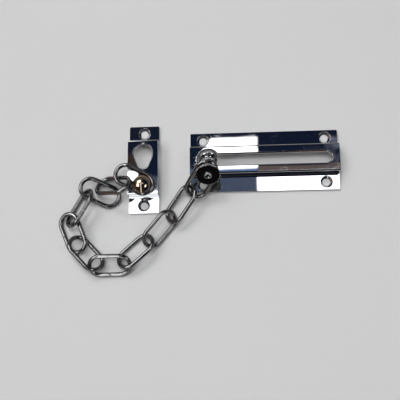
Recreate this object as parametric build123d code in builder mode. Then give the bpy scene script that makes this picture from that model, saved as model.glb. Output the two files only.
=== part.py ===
from build123d import *
import os
from math import asin, cos, degrees, pi, radians, sin

os.makedirs("parts", exist_ok=True)

# Both plates are pressed from the same strip, with the middle raised off the door
SHEET = 2.0
PLATE_HEIGHT = 9.5
OUTER_BEND = 1.2
INNER_BEND = 0.5
PLATE_CORNER = 0.8
MOUTH_BEVEL = 0.7

# Countersunk screw holes in the flanges of both plates
SCREW_BORE = 5.0
SCREW_HEAD = 8.6
HEAD_ANGLE = 90

# Slide plate, on the door leaf
SLIDE_LENGTH = 104.0
SLIDE_WIDTH = 43.0
SLIDE_RAISED = 20.0
SLIDE_HOLE_FROM_END = 9.0
SLIDE_HOLE_FROM_EDGE = 5.5
SLOT_WIDTH = 8.0
SLOT_END_MARGIN = 5.7
ENTRY_BORE = 15.0
ENTRY_FROM_END = 13.1

# Keeper plate, on the door frame
KEEPER_WIDTH = 21.4
KEEPER_LENGTH = 63.5
KEEPER_RAISED = 39.5
KEEPER_HOLE_FROM_END = 5.5
PARK_BORE = 13.0
PARK_BORE_UP = 10.0
PARK_LOBE = 7.5
PARK_LOBE_UP = 2.5
POST_DOWN = 13.5

# Domed rivet that holds the chain on the keeper
POST_DIAMETER = 7.0
POST_STUD = 5.0
DOME_DIAMETER = 12.5
DOME_HEIGHT = 3.4
DOME_RIM = 0.8
UPSET_DIAMETER = 7.0
UPSET_HEIGHT = 1.4

# Sliding knob, leaning over the lower lip of the slot
KNOB_TILT = 51
SLOT_NECK = 6.5
NECK_PLAY = 0.15
INNER_HEAD = 12.4
INNER_HEAD_HEIGHT = 2.5
HEAD_BELOW_LIP = 1.5
COLLAR_ABOVE_LIP = 3.7
COLLAR_HEIGHT = 2.0
LINK_NECK = 7.0
LINK_NECK_HEIGHT = 8.0
KNOB_STUD = 5.3
DISC_DIAMETER = 16.5
DISC_HEIGHT = 2.0
DISC_BEVEL = 0.3
RIVET_STAND = 0.5
KNOB_EDGE = 0.3

# Chain link, bent from round wire and closed with a plain butt joint
WIRE = 3.0
LINK_LENGTH = 31.0
LINK_WIDTH = 17.0
BUTT_GAP = 0.25
RUNNING_FIT = 0.05
NECK_CLEARANCE = 0.4
FACE_CLEARANCE = 0.25

CROWN = (LINK_WIDTH - WIRE) / 2
STRAIGHT = LINK_LENGTH - LINK_WIDTH
HALF_LOOP = LINK_LENGTH / 2 - WIRE / 2

# The link on the knob: heading, pitch, roll, way round the neck, gap above the collar, side of its butt joint
KNOB_LINK = (234, -31, -21, 27, 1.0, 1)

# The last link lies on the keeper's face, and the link before it leans over the keeper's edge.
# The leaning link's near end stands this high, and its middle hangs this far below the face's wire
LEANING_END = 3.1
LEANING_DROP = 0.5
on_face = PLATE_HEIGHT + WIRE / 2 + FACE_CLEARANCE
leaning_middle = PLATE_HEIGHT + WIRE / 2 - LEANING_DROP
leaning_pitch = degrees(asin((leaning_middle - LEANING_END) / HALF_LOOP))

# The other links as they lie, from the knob to the keeper. Heading, pitch and roll in degrees,
# the place on the wire of the link before where it hooks, measured from that link's far end,
# the slack left there, the height of its middle where it does not lie on the ground, and the
# side of its butt joint
LYING_LINKS = [
    (234, -11, 32, -9.0, 0.6, None, -1),
    (230, 0, -45, -3.5, 1.7, None, 1),
    (221, 0, 29, -5.5, 1.9, None, -1),
    (181, 2, -32, 8.5, -1.4, None, 1),
    (133, 1, 36, 10.5, 2.1, None, -1),
    (112, 2, -18, 13.5, 1.0, None, 1),
    (59, 2, -48, 12.5, 3.9, None, -1),
    (-23, -12, 8, 7.0, -10.0, None, -1),
    (-7, leaning_pitch, -29, 21.5, 0.0, leaning_middle, 1),
    (-29, 0, 0, 20.0, -8.5, on_face, 1),
]
POST_ALONG = 0.0
POST_ACROSS = -1.0

# How near an edge or corner lies to the place where it is looked for
NEAR = 0.01


def hat_section(base, length, width, raised):
    """Pressed strip along the base's X axis, raised in the middle of its width."""
    cut = Plane(origin=base.from_local_coords((-length / 2, 0, 0)), x_dir=base.y_dir, z_dir=base.x_dir)
    with BuildSketch(cut) as section:
        Rectangle(width, SHEET, align=(Align.CENTER, Align.MIN))
        Rectangle(raised, PLATE_HEIGHT, align=(Align.CENTER, Align.MIN))
        Rectangle(
            raised - 2 * SHEET,
            PLATE_HEIGHT - SHEET,
            align=(Align.CENTER, Align.MIN),
            mode=Mode.SUBTRACT,
        )
        crest = vertices().filter_by(lambda v: abs(v.Y - PLATE_HEIGHT) < NEAR)
        heel = vertices().filter_by(lambda v: abs(v.Y) < NEAR and abs(v.X) < raised / 2)
        fillet(crest + heel, radius=OUTER_BEND)
        roof = vertices().filter_by(lambda v: abs(v.Y - PLATE_HEIGHT + SHEET) < NEAR)
        foot = vertices().filter_by(lambda v: abs(v.Y - SHEET) < NEAR and abs(v.X) < raised / 2 + NEAR)
        fillet(roof + foot, radius=INNER_BEND)
    extrude(section.sketch, amount=length)


def round_outer_corners(base, length, width):
    """Round the four upright corners of the flanges."""
    corners = [
        edge
        for edge in edges().filter_by(Axis.Z)
        if abs(abs(base.to_local_coords(edge.center()).X) - length / 2) < NEAR
        and abs(abs(base.to_local_coords(edge.center()).Y) - width / 2) < NEAR
    ]
    fillet(corners, radius=PLATE_CORNER)


def bevel_mouths():
    """Break the upper edge of the openings in the raised face."""
    face = faces().filter_by(Axis.Z).sort_by(Axis.Z)[-1]
    chamfer(face.inner_wires().edges(), length=MOUTH_BEVEL)


def pose(heading, pitch, roll):
    """Directions along a link and across it, for its heading, pitch and roll."""
    turn, tip, lean = radians(heading), radians(pitch), radians(roll)
    along = Vector(cos(tip) * cos(turn), cos(tip) * sin(turn), sin(tip))
    level = Vector(-sin(turn), cos(turn), 0)
    across = level * cos(lean) + along.cross(level) * sin(lean)
    return along, across


def on_wire(place):
    """Point of the wire's centre line and its outward direction, from the far end of the link."""
    side = 1 if place >= 0 else -1
    travel = abs(place)
    quarter = CROWN * pi / 2
    if travel <= quarter:
        angle = travel / CROWN
        out = (cos(angle), side * sin(angle))
        return (STRAIGHT / 2 + CROWN * out[0], CROWN * out[1]), out
    if travel <= quarter + STRAIGHT:
        return (STRAIGHT / 2 - travel + quarter, side * CROWN), (0, side)
    angle = (travel - quarter - STRAIGHT) / CROWN
    out = (-sin(angle), side * cos(angle))
    return (-STRAIGHT / 2 + CROWN * out[0], CROWN * out[1]), out


def lying_height(along, across):
    """Height of a link's middle when its lowest wire touches the ground."""
    return WIRE / 2 + abs(along.Z) * STRAIGHT / 2 + CROWN * (along.Z**2 + across.Z**2) ** 0.5


def link_frame(middle, along, across):
    return Plane(origin=middle, x_dir=along, z_dir=along.cross(across))


# Slide plate
entry_x = ENTRY_FROM_END - SLIDE_LENGTH / 2
slot_end_x = SLIDE_LENGTH / 2 - SLOT_END_MARGIN - SLOT_WIDTH / 2
with BuildPart() as slide_plate:
    hat_section(Plane.XY, SLIDE_LENGTH, SLIDE_WIDTH, SLIDE_RAISED)
    round_outer_corners(Plane.XY, SLIDE_LENGTH, SLIDE_WIDTH)
    with BuildSketch(Plane.XY.offset(PLATE_HEIGHT)):
        with Locations((entry_x, 0)):
            Circle(ENTRY_BORE / 2)
        with Locations(((entry_x + slot_end_x) / 2, 0)):
            SlotCenterToCenter(slot_end_x - entry_x, SLOT_WIDTH)
    extrude(amount=-PLATE_HEIGHT, mode=Mode.SUBTRACT)
    bevel_mouths()
    with Locations(Plane.XY.offset(SHEET)):
        with GridLocations(
            SLIDE_LENGTH - 2 * SLIDE_HOLE_FROM_END, SLIDE_WIDTH - 2 * SLIDE_HOLE_FROM_EDGE, 2, 2
        ):
            CounterSinkHole(SCREW_BORE / 2, SCREW_HEAD / 2, counter_sink_angle=HEAD_ANGLE)
slide_plate.part.label = "slide_plate"
export_step(slide_plate.part, "parts/slide_plate.step")

# Sliding knob: it leans until its neck meets the lower lip of the slot
lean = radians(KNOB_TILT)
neck_rise = Vector(0, -sin(lean), cos(lean))
neck_side = Vector(0, cos(lean), sin(lean))
lip = Vector(entry_x, -SLOT_WIDTH / 2, PLATE_HEIGHT)
knob_origin = lip + neck_side * (SLOT_NECK / 2 + NECK_PLAY)
knob_frame = Plane(origin=knob_origin, x_dir=neck_side, z_dir=(1, 0, 0))
head_bottom = -HEAD_BELOW_LIP - INNER_HEAD_HEIGHT
collar_top = COLLAR_ABOVE_LIP + COLLAR_HEIGHT
disc_bottom = collar_top + LINK_NECK_HEIGHT
disc_top = disc_bottom + DISC_HEIGHT


def turned(steps):
    """Turned piece on the knob's axis, from (diameter, bottom, top) steps."""
    for diameter, bottom, top in steps:
        floor = Plane(origin=knob_origin + neck_rise * bottom, x_dir=neck_side, z_dir=neck_rise)
        with BuildSketch(floor) as disc:
            Circle(diameter / 2)
        extrude(disc.sketch, amount=top - bottom)


with BuildPart() as knob_stud:
    turned([
        (INNER_HEAD, head_bottom, -HEAD_BELOW_LIP),
        (SLOT_NECK, -HEAD_BELOW_LIP, COLLAR_ABOVE_LIP),
        (INNER_HEAD, COLLAR_ABOVE_LIP, collar_top),
        (LINK_NECK, collar_top, disc_bottom),
        (KNOB_STUD, disc_bottom, disc_top + RIVET_STAND),
    ])
    rims = [
        edge
        for edge in edges().filter_by(GeomType.CIRCLE)
        if edge.radius > INNER_HEAD / 2 - NEAR
        or knob_frame.to_local_coords(edge.arc_center).Y > disc_top + NEAR
    ]
    chamfer(rims, length=KNOB_EDGE)
knob_stud.part.label = "knob_stud"
export_step(knob_stud.part, "parts/knob_stud.step")

with BuildPart() as knob_disc:
    turned([(DISC_DIAMETER, disc_bottom, disc_top)])
    chamfer(edges().filter_by(GeomType.CIRCLE), length=DISC_BEVEL)
    with BuildSketch(Plane(origin=knob_origin + neck_rise * disc_bottom, x_dir=neck_side, z_dir=neck_rise)):
        Circle(KNOB_STUD / 2 + RUNNING_FIT)
    extrude(amount=DISC_HEIGHT, mode=Mode.SUBTRACT)
knob_disc.part.label = "knob_disc"
export_step(knob_disc.part, "parts/knob_disc.step")

# Frames of all the links, seated one on the other from the knob onwards
heading, pitch, roll, way_round, gap, seam_side = KNOB_LINK
along, across = pose(heading, pitch, roll)
reach = LINK_NECK / 2 + WIRE / 2 + NECK_CLEARANCE
hook = (
    knob_origin
    + neck_rise * (collar_top + WIRE / 2 + gap)
    + Vector(1, 0, 0) * reach * sin(radians(way_round))
    + neck_side * reach * cos(radians(way_round))
)
before = link_frame(hook + along * HALF_LOOP, along, across)
links = [(before, seam_side)]
for heading, pitch, roll, place, slack, height, seam_side in LYING_LINKS:
    along, across = pose(heading, pitch, roll)
    spot, out = on_wire(place)
    inward = WIRE + slack
    hook = before.from_local_coords((spot[0] - inward * out[0], spot[1] - inward * out[1], 0))
    middle = hook + along * HALF_LOOP
    middle_z = lying_height(along, across) if height is None else height
    before = link_frame(Vector(middle.X, middle.Y, middle_z), along, across)
    links.append((before, seam_side))

# Links are numbered from the keeper
for number, (frame, seam_side) in enumerate(reversed(links), start=1):
    leg = seam_side * CROWN
    with BuildPart() as link:
        with BuildLine(frame) as bent_wire:
            Line((BUTT_GAP / 2, leg), (STRAIGHT / 2, leg))
            ThreePointArc((STRAIGHT / 2, leg), (HALF_LOOP, 0), (STRAIGHT / 2, -leg))
            Line((STRAIGHT / 2, -leg), (-STRAIGHT / 2, -leg))
            ThreePointArc((-STRAIGHT / 2, -leg), (-HALF_LOOP, 0), (-STRAIGHT / 2, leg))
            Line((-STRAIGHT / 2, leg), (-BUTT_GAP / 2, leg))
        with BuildSketch(Plane(origin=bent_wire.line @ 0, z_dir=bent_wire.line % 0)):
            Circle(WIRE / 2)
        sweep()
    link.part.label = f"link_{number:02d}"
    export_step(link.part, f"parts/link_{number:02d}.step")

# Keeper plate: its post stands in the far end of the last link
last = links[-1][0]
post = last.from_local_coords((STRAIGHT / 2 + POST_ALONG, POST_ACROSS, 0))
keeper = Plane(origin=(post.X, post.Y + POST_DOWN, 0))
with BuildPart() as keeper_plate:
    hat_section(keeper, KEEPER_WIDTH, KEEPER_LENGTH, KEEPER_RAISED)
    round_outer_corners(keeper, KEEPER_WIDTH, KEEPER_LENGTH)
    with BuildSketch(keeper.offset(PLATE_HEIGHT)):
        with Locations((0, PARK_BORE_UP)):
            Circle(PARK_BORE / 2)
        with Locations((0, PARK_LOBE_UP)):
            Circle(PARK_LOBE / 2)
        make_hull()
    extrude(amount=-PLATE_HEIGHT, mode=Mode.SUBTRACT)
    bevel_mouths()
    with BuildSketch(keeper.offset(PLATE_HEIGHT)):
        with Locations((0, -POST_DOWN)):
            Circle(POST_STUD / 2 + RUNNING_FIT)
    extrude(amount=-PLATE_HEIGHT, mode=Mode.SUBTRACT)
    with Locations(keeper.offset(SHEET)):
        with GridLocations(0, KEEPER_LENGTH - 2 * KEEPER_HOLE_FROM_END, 1, 2):
            CounterSinkHole(SCREW_BORE / 2, SCREW_HEAD / 2, counter_sink_angle=HEAD_ANGLE)
keeper_plate.part.label = "keeper_plate"
export_step(keeper_plate.part, "parts/keeper_plate.step")

# Domed rivet, turned round the post's axis
post_frame = Plane(origin=(post.X, post.Y, 0), x_dir=keeper.x_dir, z_dir=-keeper.y_dir)
post_top = PLATE_HEIGHT + WIRE + 3 * FACE_CLEARANCE
with BuildPart() as keeper_rivet:
    with BuildSketch(post_frame):
        with BuildLine():
            Polyline(
                (0, PLATE_HEIGHT - SHEET - UPSET_HEIGHT),
                (UPSET_DIAMETER / 2, PLATE_HEIGHT - SHEET - UPSET_HEIGHT),
                (UPSET_DIAMETER / 2, PLATE_HEIGHT - SHEET),
                (POST_STUD / 2, PLATE_HEIGHT - SHEET),
                (POST_STUD / 2, PLATE_HEIGHT),
                (POST_DIAMETER / 2, PLATE_HEIGHT),
                (POST_DIAMETER / 2, post_top),
                (DOME_DIAMETER / 2, post_top),
                (DOME_DIAMETER / 2, post_top + DOME_RIM),
            )
            TangentArc(
                (0, post_top + DOME_HEIGHT),
                (DOME_DIAMETER / 2, post_top + DOME_RIM),
                tangent=(1, 0),
            )
            Line((0, post_top + DOME_HEIGHT), (0, PLATE_HEIGHT - SHEET - UPSET_HEIGHT))
        make_face()
    revolve(axis=Axis((post.X, post.Y, 0), (0, 0, 1)))
keeper_rivet.part.label = "keeper_rivet"
export_step(keeper_rivet.part, "parts/keeper_rivet.step")
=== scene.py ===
from math import cos, pi, radians, sin

import bmesh
import bpy
import numpy as np
from bpy.props import FloatProperty, FloatVectorProperty, IntProperty, PointerProperty
from mathutils import Matrix, Vector


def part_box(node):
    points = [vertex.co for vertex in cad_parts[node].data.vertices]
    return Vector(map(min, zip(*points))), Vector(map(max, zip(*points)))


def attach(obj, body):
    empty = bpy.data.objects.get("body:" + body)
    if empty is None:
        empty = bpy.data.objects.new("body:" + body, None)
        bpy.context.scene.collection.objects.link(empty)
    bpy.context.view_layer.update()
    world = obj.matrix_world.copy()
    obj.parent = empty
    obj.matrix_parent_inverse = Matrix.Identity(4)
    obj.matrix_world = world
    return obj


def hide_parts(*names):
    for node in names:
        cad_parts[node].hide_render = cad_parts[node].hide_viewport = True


bl_info = {
    "name": "Door chain",
    "version": (1, 0, 0),
    "blender": (4, 5, 0),
    "location": "View3D > Sidebar > Door chain",
    "description": "Chrome plates, knob, rivet and links of a door chain, shown in a studio",
    "category": "Object",
}

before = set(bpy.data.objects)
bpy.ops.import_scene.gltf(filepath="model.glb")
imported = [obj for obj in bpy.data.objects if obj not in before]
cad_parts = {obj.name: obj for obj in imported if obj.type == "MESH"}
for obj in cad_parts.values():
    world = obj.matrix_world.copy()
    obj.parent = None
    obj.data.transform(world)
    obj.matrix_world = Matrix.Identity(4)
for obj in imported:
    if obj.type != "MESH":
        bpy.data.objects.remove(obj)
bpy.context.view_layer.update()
MM = 0.001
LINKS = sorted(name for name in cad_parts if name.startswith("link_"))


# Sizes and colours that a user would change

class PlateSettings(bpy.types.PropertyGroup):
    edge: FloatProperty(
        name="Edge break",
        description="Width of the worn break along every cut edge of the plates",
        default=0.09 * MM, min=0.0, max=0.3 * MM, precision=5, unit="LENGTH",
    )
    chrome: FloatVectorProperty(
        name="Plate chrome",
        description="Colour of the polished plating on both plates",
        default=(0.57, 0.58, 0.6), size=3, min=0.0, max=1.0, subtype="COLOR",
    )
    inside: FloatVectorProperty(
        name="Unpolished back",
        description="Colour of the thin, dull plating on the backs of the plates",
        default=(0.5, 0.49, 0.47), size=3, min=0.0, max=1.0, subtype="COLOR",
    )
    waviness: FloatProperty(
        name="Waviness",
        description="Height of the slow waves that pressing leaves in the polished faces",
        default=0.01 * MM, min=0.0, max=0.3 * MM, precision=5, unit="LENGTH",
    )


class LinkSettings(bpy.types.PropertyGroup):
    wire: FloatProperty(
        name="Wire",
        description="Diameter of the wire that the links are bent from",
        default=3.0 * MM, min=1.0 * MM, max=6.0 * MM, precision=4, unit="LENGTH",
    )
    gap: FloatProperty(
        name="Butt gap",
        description="Gap left between the two cut ends of the wire",
        default=0.25 * MM, min=0.05 * MM, max=1.0 * MM, precision=5, unit="LENGTH",
    )
    nip: FloatProperty(
        name="Nipped end",
        description="How far the cutter rounded the rim of each wire end",
        default=0.32 * MM, min=0.05 * MM, max=0.8 * MM, precision=5, unit="LENGTH",
    )
    sides: IntProperty(
        name="Sides",
        description="Number of sides round the wire",
        default=32, min=12, max=64,
    )
    chrome: FloatVectorProperty(
        name="Wire chrome",
        description="Colour of the plating on the wire",
        default=(0.265, 0.265, 0.267), size=3, min=0.0, max=1.0, subtype="COLOR",
    )


class KnobSettings(bpy.types.PropertyGroup):
    rim: FloatProperty(
        name="Disc rim",
        description="Width of the bevelled rim of the disc",
        default=0.3 * MM, min=0.2 * MM, max=2.0 * MM, precision=5, unit="LENGTH",
    )
    chrome: FloatVectorProperty(
        name="Knob chrome",
        description="Colour of the plating on the turned stud",
        default=(0.52, 0.52, 0.53), size=3, min=0.0, max=1.0, subtype="COLOR",
    )
    disc: FloatVectorProperty(
        name="Disc chrome",
        description="Colour of the darker, brighter polished plating on the disc",
        default=(0.3, 0.3, 0.31), size=3, min=0.0, max=1.0, subtype="COLOR",
    )


class RivetSettings(bpy.types.PropertyGroup):
    chrome: FloatVectorProperty(
        name="Rivet plating",
        description="Colour of the warmer plating on the domed rivet",
        default=(0.46, 0.37, 0.28), size=3, min=0.0, max=1.0, subtype="COLOR",
    )


class StageSettings(bpy.types.PropertyGroup):
    floor: FloatVectorProperty(
        name="Floor",
        description="Colour of the plain table top",
        default=(0.541, 0.543, 0.545), size=3, min=0.0, max=1.0, subtype="COLOR",
    )
    key: FloatProperty(
        name="Key light",
        description="Power of the soft light beyond the top of the picture",
        default=2.6, min=0.0, max=100.0, unit="POWER",
    )
    overhead: FloatProperty(
        name="Overhead light",
        description="Power of the soft light over the table, which the metal does not mirror",
        default=6.2, min=0.0, max=100.0, unit="POWER",
    )


# Shader arithmetic

class Number:
    """A socket that carries a number. Arithmetic on it adds Math nodes."""

    def __init__(self, shader, socket):
        self.shader = shader
        self.socket = socket

    def math(self, operation, *values):
        sockets = dict(enumerate(values))
        made = self.shader.node("ShaderNodeMath", {"operation": operation}, sockets)
        return Number(self.shader, made.outputs[0])

    def __add__(self, other):
        return self.math("ADD", self, other)

    def __radd__(self, other):
        return self.math("ADD", other, self)

    def __sub__(self, other):
        return self.math("SUBTRACT", self, other)

    def __rsub__(self, other):
        return self.math("SUBTRACT", other, self)

    def __mul__(self, other):
        return self.math("MULTIPLY", self, other)

    def __rmul__(self, other):
        return self.math("MULTIPLY", other, self)

    def __truediv__(self, other):
        return self.math("DIVIDE", self, other)

    def __rtruediv__(self, other):
        return self.math("DIVIDE", other, self)

    def step(self, low, high):
        """0 below low, 1 above high, smooth between them."""
        made = self.shader.node(
            "ShaderNodeMapRange",
            {"interpolation_type": "SMOOTHSTEP"},
            {"Value": self, "From Min": low, "From Max": high},
        )
        return Number(self.shader, made.outputs["Result"])

    def within(self, low, high, soft):
        """1 between low and high, with soft borders."""
        return self.step(low - soft, low + soft) * (1 - self.step(high - soft, high + soft))


class Shader:
    """The node tree of one material or world."""

    # Sockets of a Mix node that mixes colours
    FACTOR, FIRST, SECOND, MIXED = 0, 6, 7, 2

    def __init__(self, owner):
        owner.use_nodes = True
        self.tree = owner.node_tree
        self.tree.nodes.clear()

    def node(self, kind, settings=None, sockets=None):
        """Node of a kind. Its settings are made first, then its sockets are set or linked."""
        made = self.tree.nodes.new(kind)
        for name, value in (settings or {}).items():
            setattr(made, name, value)
        for name, value in (sockets or {}).items():
            self.plug(made.inputs[name], value)
        return made

    def plug(self, socket, value):
        """Links a number or socket to a socket, or sets its value."""
        if isinstance(value, Number):
            value = value.socket
        if isinstance(value, bpy.types.NodeSocket):
            self.tree.links.new(value, socket)
        else:
            socket.default_value = value

    def number(self, made, output=0):
        return Number(self, made.outputs[output])

    def mix(self, factor, first, second):
        """Colour between first, where factor is 0, and second, where it is 1."""
        sockets = {self.FACTOR: factor, self.FIRST: first, self.SECOND: second}
        return self.node("ShaderNodeMix", {"data_type": "RGBA"}, sockets).outputs[self.MIXED]

    def stretched(self, scale):
        """Object coordinates, multiplied on each axis."""
        place = self.node("ShaderNodeTexCoord")
        return self.node(
            "ShaderNodeMapping", None, {"Vector": place.outputs["Object"], "Scale": scale}
        ).outputs[0]

    def noise(self, scale, detail=2.0, stretch=(1, 1, 1), roughness=0.5):
        """Cloudy pattern between 0 and 1. Scale is how many clouds fit in a metre."""
        sockets = {
            "Vector": self.stretched(stretch),
            "Scale": scale,
            "Detail": detail,
            "Roughness": roughness,
        }
        return self.number(self.node("ShaderNodeTexNoise", None, sockets))

    def bump(self, height, distance, below=None):
        """Normal of a surface raised by height times distance, in metres."""
        sockets = {"Height": height, "Distance": distance, "Strength": 1.0}
        if below is not None:
            sockets["Normal"] = below
        return self.node("ShaderNodeBump", None, sockets).outputs[0]


def colour(value):
    """Red, green and blue as an opaque colour."""
    return (*value, 1.0)


# Finishes

# How many of each pattern fit in a metre, and how far the lines are drawn out on each axis
PATCHES = 140.0
POLISHING, POLISHING_STRETCH = 900.0, (0.06, 1, 1)
HAIRS, HAIRS_STRETCH = 500.0, (0.25, 1.6, 1)
SCRATCHED_AREAS = 60.0
PITS, PITTED_AREAS = 420.0, 75.0
STAINS = 210.0

WORN_TONE = 0.86
PIT_COLOUR = (0.12, 0.11, 0.1)
FINE_RELIEF = 0.0006 * MM
BACK_ROUGHNESS = 0.26


def plated(name, chrome, waves, wave_size, haze, scratches, edge=1.0, stain=None, back=None):
    """Chrome plating: slow waves, polishing lines, hairline scratches, pits and hazy patches.

    Waves is the height of the slow waves and wave_size how many fit in a metre. Haze is the
    roughness where nothing wore it, and scratches what a hairline adds to it. Edge tints what
    the metal mirrors at a grazing angle. Stain is a second tone, and back is the colour of the
    faces that look down.
    """
    material = bpy.data.materials.new(name)
    shader = Shader(material)
    patches = shader.noise(PATCHES, 4.0)
    lines = shader.noise(POLISHING, 3.0, POLISHING_STRETCH)
    hair = shader.noise(HAIRS, 6.0, HAIRS_STRETCH, 0.7)
    hairline = hair.within(0.496, 0.504, 0.003)
    hairline = hairline * shader.noise(SCRATCHED_AREAS, 2.0).step(0.52, 0.7)
    spots = {"Vector": shader.stretched((1, 1, 1)), "Scale": PITS}
    pit = 1 - shader.number(shader.node("ShaderNodeTexVoronoi", None, spots)).step(0.05, 0.12)
    pit = pit * shader.noise(PITTED_AREAS).step(0.55, 0.7)

    worn = colour([channel * WORN_TONE for channel in chrome])
    base = shader.mix(patches.step(0.35, 0.75) * 0.5, colour(chrome), worn)
    if stain is not None:
        base = shader.mix(shader.noise(STAINS, 5.0).step(0.5, 0.72) * 0.6, base, colour(stain))
    base = shader.mix(pit * 0.6, base, colour(PIT_COLOUR))
    roughness = haze + patches.step(0.45, 0.8) * haze * 1.3 + hairline * scratches + pit * 0.3
    relief = shader.bump(shader.noise(wave_size, 1.0), waves)
    relief = shader.bump(lines + hairline * -1.0 + pit * -4.0, FINE_RELIEF, relief)
    if back is not None:
        facing = shader.node("ShaderNodeTexCoord").outputs["Normal"]
        up = shader.number(shader.node("ShaderNodeSeparateXYZ", None, {0: facing}), 2)
        dull = 1 - up.step(-0.6, -0.3)
        base = shader.mix(dull, base, colour(back))
        roughness = roughness + dull * (BACK_ROUGHNESS + patches * 0.12)
    skin = shader.node(
        "ShaderNodeBsdfPrincipled",
        None,
        {
            "Base Color": base,
            "Metallic": 1.0,
            "Roughness": roughness,
            "Specular Tint": colour([edge] * 3),
            "Normal": relief,
        },
    )
    out = shader.node("ShaderNodeOutputMaterial")
    shader.plug(out.inputs["Surface"], skin.outputs[0])
    return material


# Modelling helpers

MERGE = 0.002 * MM
LATHE_MERGE = 0.0001 * MM
FLAT_WITHIN = radians(0.6)
SHARP_OVER = radians(32)
CUT_EDGE_OVER = radians(35)
LATHE_STEPS = 96
BEND_STEPS = 36
HALF_LEG_CUTS, LEG_CUTS = 3, 6
NIP_STEPS = 4
BREAK_STEPS = 2


def surface(node):
    """Middle, area and direction of every triangle of a CAD node."""
    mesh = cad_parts[node].data
    mesh.calc_loop_triangles()
    corners = np.array([[mesh.vertices[i].co for i in t.vertices] for t in mesh.loop_triangles])
    cross = np.cross(corners[:, 1] - corners[:, 0], corners[:, 2] - corners[:, 0])
    length = np.linalg.norm(cross, axis=1)
    return corners.mean(axis=1), length / 2, cross / np.maximum(length, 1e-15)[:, None]


def axes_of(node):
    """Place of a CAD node: X along its longest extent, Z along its shortest, middle at origin."""
    middles, areas, _ = surface(node)
    centre = (middles * areas[:, None]).sum(axis=0) / areas.sum()
    spread = middles - centre
    _, directions = np.linalg.eigh((spread * areas[:, None]).T @ spread)
    long, across = Vector(directions[:, 2]), Vector(directions[:, 1])
    axes = Matrix((long, across, long.cross(across))).transposed()
    local = spread @ np.array(axes)
    middle = Vector((local.min(axis=0) + local.max(axis=0)) / 2)
    return Matrix.Translation(Vector(centre) + axes @ middle) @ axes.to_4x4()


def points_of(node, place):
    """Vertices of a CAD node, as seen from a place."""
    inverse = place.inverted()
    return [inverse @ vert.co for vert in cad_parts[node].data.vertices]


def piece(name, bm, body, node, material):
    """Makes a mesh object that stands for a CAD node and rides on its body."""
    mesh = bpy.data.meshes.new(name)
    bmesh.ops.recalc_face_normals(bm, faces=bm.faces)
    for face in bm.faces:
        face.smooth = True
    for edge in bm.edges:
        edge.smooth = edge.calc_face_angle(0) < SHARP_OVER
    bm.to_mesh(mesh)
    bm.free()
    mesh.materials.append(material)
    made = bpy.data.objects.new(name, mesh)
    bpy.context.scene.collection.objects.link(made)
    even = made.modifiers.new("even_shading", "WEIGHTED_NORMAL")
    even.keep_sharp = True
    even.weight = 100
    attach(made, body)
    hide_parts(node)
    return made


def lathe(bm, outline, place):
    """Turns an outline of (radius, height) points round the Z axis of place."""
    points = [bm.verts.new((radius, 0, height)) for radius, height in outline]
    edges = [bm.edges.new(pair) for pair in zip(points, points[1:])]
    bmesh.ops.spin(
        bm, geom=points + edges, cent=(0, 0, 0), axis=(0, 0, 1),
        angle=2 * pi, steps=LATHE_STEPS, use_merge=True,
    )
    bmesh.ops.remove_doubles(bm, verts=bm.verts, dist=LATHE_MERGE)
    bmesh.ops.transform(bm, matrix=place, verts=bm.verts)


def arc(centre, radius, first, last, steps):
    """Points of an arc from one angle to another, in degrees."""
    turns = [radians(first + (last - first) * step / steps) for step in range(steps + 1)]
    return [(centre[0] + radius * cos(turn), centre[1] + radius * sin(turn)) for turn in turns]


def pressed_plate(node, edge):
    """Merged copy of a plate with every cut edge broken."""
    bm = bmesh.new()
    bm.from_mesh(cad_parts[node].data)
    bmesh.ops.remove_doubles(bm, verts=bm.verts, dist=MERGE)
    bmesh.ops.dissolve_limit(
        bm, angle_limit=FLAT_WITHIN, verts=bm.verts, edges=bm.edges, delimit={"NORMAL"}
    )
    cut = [side for side in bm.edges if side.calc_face_angle(0) > CUT_EDGE_OVER]
    bmesh.ops.bevel(
        bm, geom=cut, offset=edge, offset_type="OFFSET", affect="EDGES",
        segments=BREAK_STEPS, profile=0.5, material=-1, clamp_overlap=False,
    )
    return bm


def bent_link(length, width, wire, gap, nip, sides, seam):
    """Round wire bent into a link, from one nipped end to the other, with its joint at seam."""
    bm = bmesh.new()
    crown = (width - wire) / 2
    straight = (length - width) / 2
    start = Matrix.Translation((gap / 2, seam * crown, 0)) @ Matrix.Rotation(pi / 2, 4, "Y")
    ring = bmesh.ops.create_circle(bm, segments=sides, radius=wire / 2, matrix=start)["verts"]
    ring = {side for vert in ring for side in vert.link_edges}
    first = list(ring)

    def straight_run(ring, distance, cuts):
        for _ in range(cuts):
            grown = bmesh.ops.extrude_edge_only(bm, edges=list(ring))["geom"]
            moved = [part for part in grown if isinstance(part, bmesh.types.BMVert)]
            bmesh.ops.translate(bm, verts=moved, vec=(distance / cuts, 0, 0))
            ring = [part for part in grown if isinstance(part, bmesh.types.BMEdge)]
        return ring

    def bend(ring, centre):
        turned = bmesh.ops.spin(
            bm, geom=list(ring), cent=(centre, 0, 0), axis=(0, 0, 1),
            angle=-pi * seam, steps=BEND_STEPS,
        )["geom_last"]
        return [part for part in turned if isinstance(part, bmesh.types.BMEdge)]

    ring = straight_run(ring, straight - gap / 2, HALF_LEG_CUTS)
    ring = bend(ring, straight)
    ring = straight_run(ring, -2 * straight, LEG_CUTS)
    ring = bend(ring, -straight)
    ring = straight_run(ring, straight - gap / 2, HALF_LEG_CUTS)
    caps = [bmesh.ops.contextual_create(bm, geom=list(end))["faces"][0] for end in (first, ring)]
    rims = [side for cap in caps for side in cap.edges]
    bmesh.ops.bevel(
        bm, geom=rims, offset=nip, offset_type="OFFSET", affect="EDGES",
        segments=NIP_STEPS, profile=0.5, material=-1, clamp_overlap=True,
    )
    return bm


# Operators, one for each piece or group of like pieces

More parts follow.
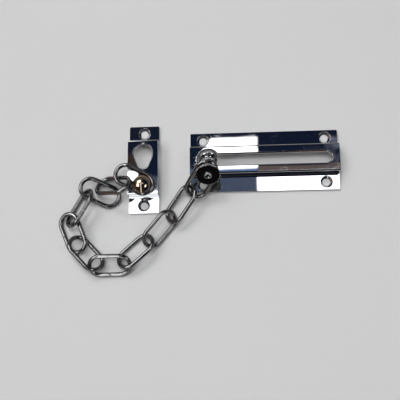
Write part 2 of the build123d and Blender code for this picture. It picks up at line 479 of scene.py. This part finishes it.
class DOORCHAIN_OT_plates(bpy.types.Operator):
    """Add the slide plate and the keeper plate, with broken edges and chrome plating"""
    bl_idname = "door_chain.plates"
    bl_label = "Plates"
    bl_options = {"REGISTER", "UNDO"}

    def execute(self, context):
        plate = context.scene.door_chain_plates
        finish = plated(
            "plate_chrome", plate.chrome, waves=plate.waviness, wave_size=45.0,
            haze=0.014, scratches=0.12, back=plate.inside,
        )
        for name, body in (("slide_plate", "slide_plate"), ("keeper_plate", "keeper")):
            piece(name + "_pressed", pressed_plate(name, plate.edge), body, name, finish)
        return {"FINISHED"}


class DOORCHAIN_OT_knob(bpy.types.Operator):
    """Add the sliding knob: its turned stud and the bevelled disc riveted on it"""
    bl_idname = "door_chain.knob"
    bl_label = "Knob"
    bl_options = {"REGISTER", "UNDO"}

    # Stud, measured from the underside of its inner head
    HEAD_RADIUS = 6.2 * MM
    HEAD_TOP = 2.5 * MM
    NECK_RADIUS = 3.25 * MM
    COLLAR_BOTTOM = 7.7 * MM
    COLLAR_RADIUS = 6.2 * MM
    COLLAR_HEIGHT = 2.0 * MM
    POST_RADIUS = 3.5 * MM
    POST_FILLET = 0.2 * MM
    EDGE_BREAK = 0.3 * MM

    # Riveted end: play in the disc, rounded rim, and a ring pressed in by the riveting tool
    RIVET_PLAY = 0.06 * MM
    RIVET_FOOT = 0.1 * MM
    RIVET_ROUND = 0.2 * MM
    RING_OUTSIDE = 1.6 * MM
    RING_FLOOR = (1.4 * MM, 1.1 * MM)
    RING_INSIDE = 0.95 * MM
    RING_DEPTH = 0.12 * MM
    MIDDLE_DEPTH = 0.02 * MM

    BORE_BEVEL = 0.25 * MM
    ROUND_STEPS = 5
    COLLAR_STEPS = 4

    def disc(self, place, bore, radius, half, rim):
        """Disc with a bevelled rim, from -half to half along the knob's axis."""
        bm = bmesh.new()
        lathe(
            bm,
            [(bore, -half)]
            + arc((radius - rim, rim - half), rim, -90, 0, self.ROUND_STEPS)
            + arc((radius - rim, half - rim), rim, 0, 90, self.ROUND_STEPS)
            + [(bore + self.BORE_BEVEL, half), (bore, half - self.BORE_BEVEL), (bore, -half)],
            place,
        )
        return bm

    def stud(self, place, bore, bottom, top, half):
        """Stud with inner head, slot neck, collar, link neck and riveted end."""
        head, neck = self.HEAD_RADIUS, self.NECK_RADIUS
        collar, post = self.COLLAR_RADIUS, self.POST_RADIUS
        step, fillet, corner = self.EDGE_BREAK, self.POST_FILLET, self.RIVET_ROUND
        floor = bottom + self.HEAD_TOP
        lip = bottom + self.COLLAR_BOTTOM
        seat = lip + self.COLLAR_HEIGHT
        tail = bore - self.RIVET_PLAY
        pressed = top - self.RING_DEPTH
        middle = top - self.MIDDLE_DEPTH
        bm = bmesh.new()
        lathe(
            bm,
            [(0, bottom), (head - step, bottom), (head, bottom + step)]
            + [(head, floor - step), (head - step, floor)]
            + [(neck + step, floor), (neck, floor + step), (neck, lip), (collar - step, lip)]
            + arc((collar - step, lip + step), step, -90, 0, self.COLLAR_STEPS)
            + arc((collar - step, seat - step), step, 0, 90, self.COLLAR_STEPS)
            + [(post + fillet, seat), (post, seat + fillet), (post, -half), (tail, -half)]
            + [(tail, half - self.RIVET_FOOT)]
            + arc((tail - corner, top - corner), corner, 0, 90, self.ROUND_STEPS)
            + [(self.RING_OUTSIDE, top)]
            + [(radius, pressed) for radius in self.RING_FLOOR]
            + [(self.RING_INSIDE, middle), (0, middle)],
            place,
        )
        return bm

    def execute(self, context):
        knob = context.scene.door_chain_knob
        finish = plated(
            "knob_chrome", knob.chrome, waves=0.004 * MM, wave_size=60.0,
            haze=0.02, scratches=0.08, edge=0.15,
        )
        polished = plated(
            "knob_disc_chrome", knob.disc, waves=0.0, wave_size=60.0, haze=0.015, scratches=0.05
        )
        place = axes_of("knob_disc")
        if place.to_3x3().col[2].z < 0:
            place = place @ Matrix.Rotation(pi, 4, "X")
        stud_points = points_of("knob_stud", place)
        disc_points = points_of("knob_disc", place)
        bottom = min(point.z for point in stud_points)
        top = max(point.z for point in stud_points)
        half = max(point.z for point in disc_points)
        radii = [Vector((point.x, point.y)).length for point in disc_points]
        bm = self.disc(place, min(radii), max(radii), half, knob.rim)
        piece("knob_disc_turned", bm, "knob", "knob_disc", polished)
        bm = self.stud(place, min(radii), bottom, top, half)
        piece("knob_stud_turned", bm, "knob", "knob_stud", finish)
        return {"FINISHED"}


class DOORCHAIN_OT_links(bpy.types.Operator):
    """Add the chain links, each bent from one wire with a butt joint in its leg"""
    bl_idname = "door_chain.links"
    bl_label = "Chain links"
    bl_options = {"REGISTER", "UNDO"}

    def execute(self, context):
        link = context.scene.door_chain_links
        finish = plated(
            "chain_chrome", link.chrome, waves=0.006 * MM, wave_size=90.0,
            haze=0.025, scratches=0.15, edge=0.05, stain=(0.17, 0.155, 0.14),
        )
        for name in LINKS:
            place = axes_of(name)
            local = points_of(name, place)
            length = 2 * max(point.x for point in local)
            width = 2 * max(point.y for point in local)
            ends = [point.y for point in local if abs(point.x) < link.gap]
            seam = 1 if sum(ends) > 0 else -1
            bm = bent_link(length, width, link.wire, link.gap, link.nip, link.sides, seam)
            bmesh.ops.transform(bm, matrix=place, verts=bm.verts)
            piece(name + "_bent", bm, name, name, finish)
        return {"FINISHED"}


class DOORCHAIN_OT_rivet(bpy.types.Operator):
    """Add the domed rivet that holds the chain on the keeper"""
    bl_idname = "door_chain.rivet"
    bl_label = "Domed rivet"
    bl_options = {"REGISTER", "UNDO"}

    DOME_HEIGHT = 3.4 * MM
    DOME_RIM = 0.8 * MM
    POST_HEIGHT = 3.75 * MM
    POST_RADIUS = 3.5 * MM
    SHANK_RADIUS = 2.5 * MM
    PLATE_THICKNESS = 2 * MM
    EDGE_BREAK = 0.3 * MM
    FILLET = 0.2 * MM
    RIM_BREAK = 0.25 * MM
    RIM_SOFTENING = 0.1 * MM
    DOME_STEPS = 24
    DOME_START = 1.5

    def execute(self, context):
        rivet = context.scene.door_chain_rivet
        finish = plated(
            "rivet_plating", rivet.chrome, waves=0.03 * MM, wave_size=120.0,
            haze=0.06, scratches=0.2, edge=0.3, stain=(0.3, 0.2, 0.12),
        )
        low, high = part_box("keeper_rivet")
        radius = (high.x - low.x) / 2
        top = high.z
        under = top - self.DOME_HEIGHT
        face = under - self.POST_HEIGHT
        behind = face - self.PLATE_THICKNESS
        post, shank = self.POST_RADIUS, self.SHANK_RADIUS
        rise = self.DOME_HEIGHT - self.DOME_RIM
        ball = (radius ** 2 + rise ** 2) / (2 * rise)
        spread = np.degrees(np.arcsin(radius / ball))
        bm = bmesh.new()
        lathe(
            bm,
            [(0, low.z), (post - self.EDGE_BREAK, low.z), (post, low.z + self.EDGE_BREAK)]
            + [(post, behind), (shank, behind), (shank, face), (post, face)]
            + [(post, under - self.FILLET), (post + self.FILLET, under)]
            + [(radius - self.RIM_BREAK, under), (radius, under + self.RIM_BREAK)]
            + [(radius, under + self.DOME_RIM - self.RIM_SOFTENING)]
            + arc((0, top - ball), ball, 90 - spread + self.DOME_START, 90, self.DOME_STEPS),
            Matrix.Translation(((low.x + high.x) / 2, (low.y + high.y) / 2, 0)),
        )
        piece("keeper_rivet_domed", bm, "keeper", "keeper_rivet", finish)
        return {"FINISHED"}


# What the metal mirrors of the studio
COLD_CEILING = (0.009, 0.016, 0.038)
WARM_CEILING = (0.05, 0.036, 0.026)
LOW_WALL = (0.012, 0.011, 0.011)
WASH = (0.18, 0.18, 0.185)
EMBER = (0.36, 0.14, 0.08)
HORIZON = (0.41, 0.395, 0.37)
SOFTBOX = (4.0, 4.0, 4.0)

# Dim panes in the ceiling: their extent across and back, each from, to and softness, and colour
PANES = (
    ((-0.16, 0.042, 0.004), (0.18, 0.245, 0.003), (0.1, 0.125, 0.19)),
    ((-0.12, 0.044, 0.004), (0.245, 0.2565, 0.003), (0.14, 0.23, 0.44)),
    ((0.044, 0.25, 0.004), (0.245, 0.262, 0.003), (0.17, 0.13, 0.12)),
    ((-0.22, -0.165, 0.006), (0.24, 0.29, 0.008), (0.06, 0.04, 0.036)),
)
CLOUDY_PANE = ((0.163, 0.25, 0.004), (0.245, 0.31, 0.003), (0.26, 0.28, 0.35))

# Softboxes: their extent across and back
WINDOW = ((-0.061, 0.043, 0.003), (0.2565, 0.313, 0.003))
BOXES = {
    "near": ((0.042, 0.2, 0.003), (0.19, 0.245, 0.004)),
    "low": ((-0.21, -0.11, 0.004), (0.0, 0.219, 0.003)),
    "glimpse": ((-0.19, -0.168, 0.002), (0.2395, 0.2575, 0.002)),
    "left": ((-1.2, -0.5, 0.02), (-0.3, 0.28, 0.02)),
    "beyond": ((-1.1, -0.2, 0.02), (0.38, 1.05, 0.02)),
}


class DOORCHAIN_OT_stage(bpy.types.Operator):
    """Add the pale table top, the studio round it, the soft lights and the camera"""
    bl_idname = "door_chain.stage"
    bl_label = "Stage"
    bl_options = {"REGISTER", "UNDO"}

    TABLE_REACH = 4.0
    TABLE_ROUGHNESS = 0.7
    SHADE_REACH = 0.25
    MOTTLING = 9.0
    # Painted light on the near side and painted shade on the far side, which even out the key
    # light
    NEAR_TONE, FAR_TONE = 1.05, 0.93

    KEY_PLACE, KEY_SIZE = (-0.25, 0.62, 0.96), 0.2
    OVERHEAD_PLACE, OVERHEAD_SIZE = (-0.05, 0.2, 1.3), 0.36
    LIT_MIDDLE = Vector((-0.05, 0.0, 0.0))

    LENS, SENSOR = 53.09, 36.0
    VIEWPOINT = Vector((-22.05, -108.8, 406.7))
    TARGET = Vector((-45.67, -26.51, 0.0))
    PICTURE_UP = Vector((0.0118, 0.9999, 0.0))

    def floor(self, settings):
        """Plain table top, a little darker towards its far side: painted shade there and painted
        light on the near side even out the key light, which falls brighter on the far side.
        """
        mesh = bpy.data.meshes.new("table_top")
        bm = bmesh.new()
        bmesh.ops.create_grid(bm, x_segments=2, y_segments=2, size=self.TABLE_REACH)
        bm.to_mesh(mesh)
        bm.free()
        material = bpy.data.materials.new("table_top")
        shader = Shader(material)
        place = shader.stretched((1, 1, 1))
        parts = shader.node("ShaderNodeSeparateXYZ", None, {0: place})
        # Painted shade: the far side is darker, so the table reads evenly under the key light
        far = shader.number(parts, 1).step(-self.SHADE_REACH, self.SHADE_REACH)
        # Painted shade and light across the table, with random mottling added
        tone = far * 0.8 + shader.noise(self.MOTTLING, 3.0) * 0.15
        base = shader.mix(
            tone,
            colour([channel * self.NEAR_TONE for channel in settings.floor]),
            colour([channel * self.FAR_TONE for channel in settings.floor]),
        )
        sockets = {"Base Color": base, "Roughness": self.TABLE_ROUGHNESS}
        skin = shader.node("ShaderNodeBsdfPrincipled", None, sockets)
        out = shader.node("ShaderNodeOutputMaterial")
        shader.plug(out.inputs["Surface"], skin.outputs[0])
        mesh.materials.append(material)
        table = bpy.data.objects.new("table_top", mesh)
        bpy.context.scene.collection.objects.link(table)

    def studio(self, context):
        """Dark ceiling with softboxes and dim panes, above a washed wall and a pale horizon.

        Across and back are slopes: how far a ray goes along X and Y while it rises by one.
        Level and heading are its angles in degrees, and heading is 0 along Y and 90 along X.
        """
        world = bpy.data.worlds.new("studio")
        context.scene.world = world
        shader = Shader(world)
        ray = shader.node("ShaderNodeTexCoord").outputs["Generated"]
        parts = shader.node("ShaderNodeSeparateXYZ", None, {0: ray})
        x, y, z = (shader.number(parts, axis) for axis in range(3))
        rise = z.math("MAXIMUM", z, 0.02)
        across, back = x / rise, y / rise
        level = z.math("ARCSINE", z.math("MINIMUM", z, 1.0)) * (180 / pi)
        heading = x.math("ARCTAN2", x, y) * (180 / pi)
        turn = heading.math("ABSOLUTE", heading)

        def patch(extent):
            return across.within(*extent[0]) * back.within(*extent[1])

        # Ceiling, warm towards the left, over a washed wall, embers and a pale horizon
        warm = (1 - x.step(0.0, 0.5)) * (1 - level.step(62, 72))
        ceiling = shader.mix(warm, colour(COLD_CEILING), colour(WARM_CEILING))
        room = shader.mix(level.step(8, 30), colour(LOW_WALL), ceiling)
        wash = level.step(9, 14) * (1 - turn.step(150, 160))
        wash = wash * (1 - (level + turn.step(90, 115) * 12).step(30, 38))
        room = shader.mix(wash, room, colour(WASH))
        ember = level.within(9, 19, 2) * heading.within(-120, -75, 4)
        ember = ember + level.within(12.5, 16.5, 1) * heading.within(168, 174, 1) * 0.6
        room = shader.mix(ember, room, colour(EMBER))
        pale = (1 - level.step(4, 9)) * (1 - turn.step(155, 165))
        pale = pale * (1 - level.step(-3, 0) * turn.within(55, 100, 8))
        room = shader.mix(pale, room, colour(HORIZON))
        for pane in PANES:
            room = shader.mix(patch(pane), room, colour(pane[2]))
        cloud = shader.noise(30.0, 4.0).step(0.35, 0.65)
        room = shader.mix(patch(CLOUDY_PANE) * cloud, room, colour(CLOUDY_PANE[2]))

        # Softboxes. The window's left side slants, and the front one is weaker
        slanted = (across - back * 0.647).step(-0.244, -0.238)
        right = level.within(50, 61, 1) * heading.within(88, 128, 3)
        front = x.within(-0.205, -0.11, 0.004) * (1 - y.step(-0.02, 0.02)) * level.step(12, 16)
        boxes = slanted * patch(WINDOW)
        for box in (*map(patch, BOXES.values()), right, front * 0.6):
            boxes = boxes.math("MAXIMUM", boxes, box)
        lit = shader.mix(boxes, room, colour(SOFTBOX))
        glow = shader.node("ShaderNodeBackground", None, {"Color": lit, "Strength": 1.0})
        shader.plug(shader.node("ShaderNodeOutputWorld").inputs["Surface"], glow.outputs[0])

    def lamp(self, name, place, size, power):
        """Soft light aimed at the door chain. The metal mirrors the studio's softboxes instead."""
        light = bpy.data.lights.new(name, "AREA")
        light.shape = "SQUARE"
        light.size = size
        light.energy = power
        made = bpy.data.objects.new(name, light)
        made.location = place
        aim = self.LIT_MIDDLE - made.location
        made.rotation_euler = aim.to_track_quat("-Z", "Y").to_euler()
        made.visible_glossy = False
        made.visible_camera = False
        bpy.context.scene.collection.objects.link(made)

    def camera(self, context):
        """Camera above the table, a little on the near side of the plates."""
        data = bpy.data.cameras.new("camera")
        data.lens = self.LENS
        data.sensor_width = self.SENSOR
        data.sensor_fit = "HORIZONTAL"
        made = bpy.data.objects.new("camera", data)
        place = self.VIEWPOINT * MM
        back = (place - self.TARGET * MM).normalized()
        right = self.PICTURE_UP.cross(back).normalized()
        axes = Matrix((right, back.cross(right), back)).transposed()
        made.matrix_world = Matrix.Translation(place) @ axes.to_4x4()
        context.scene.collection.objects.link(made)
        context.scene.camera = made

    def execute(self, context):
        settings = context.scene.door_chain_stage
        self.floor(settings)
        self.studio(context)
        self.lamp("key_light", self.KEY_PLACE, self.KEY_SIZE, settings.key)
        self.lamp(
            "overhead_light", self.OVERHEAD_PLACE, self.OVERHEAD_SIZE, settings.overhead
        )
        self.camera(context)
        context.scene.view_settings.view_transform = "Standard"
        return {"FINISHED"}


class DOORCHAIN_PT_sidebar(bpy.types.Panel):
    """Lists the pieces of the door chain and their settings"""
    bl_idname = "DOORCHAIN_PT_sidebar"
    bl_label = "Door chain"
    bl_space_type = "VIEW_3D"
    bl_region_type = "UI"
    bl_category = "Door chain"

    def draw(self, context):
        for operator, settings in PIECES:
            box = self.layout.box()
            box.operator(operator.bl_idname)
            group = getattr(context.scene, settings)
            for name in type(group).__annotations__:
                box.prop(group, name)


PIECES = (
    (DOORCHAIN_OT_plates, "door_chain_plates"),
    (DOORCHAIN_OT_knob, "door_chain_knob"),
    (DOORCHAIN_OT_links, "door_chain_links"),
    (DOORCHAIN_OT_rivet, "door_chain_rivet"),
    (DOORCHAIN_OT_stage, "door_chain_stage"),
)
GROUPS = {
    "door_chain_plates": PlateSettings,
    "door_chain_knob": KnobSettings,
    "door_chain_links": LinkSettings,
    "door_chain_rivet": RivetSettings,
    "door_chain_stage": StageSettings,
}


def register():
    for name, group in GROUPS.items():
        bpy.utils.register_class(group)
        setattr(bpy.types.Scene, name, PointerProperty(type=group))
    for operator, _ in PIECES:
        bpy.utils.register_class(operator)
    bpy.utils.register_class(DOORCHAIN_PT_sidebar)


def unregister():
    bpy.utils.unregister_class(DOORCHAIN_PT_sidebar)
    for operator, _ in reversed(PIECES):
        bpy.utils.unregister_class(operator)
    for name, group in GROUPS.items():
        delattr(bpy.types.Scene, name)
        bpy.utils.unregister_class(group)


def main():
    register()
    bpy.ops.door_chain.plates()
    bpy.ops.door_chain.knob()
    bpy.ops.door_chain.links()
    bpy.ops.door_chain.rivet()
    bpy.ops.door_chain.stage()


if __name__ == "__main__":
    main()
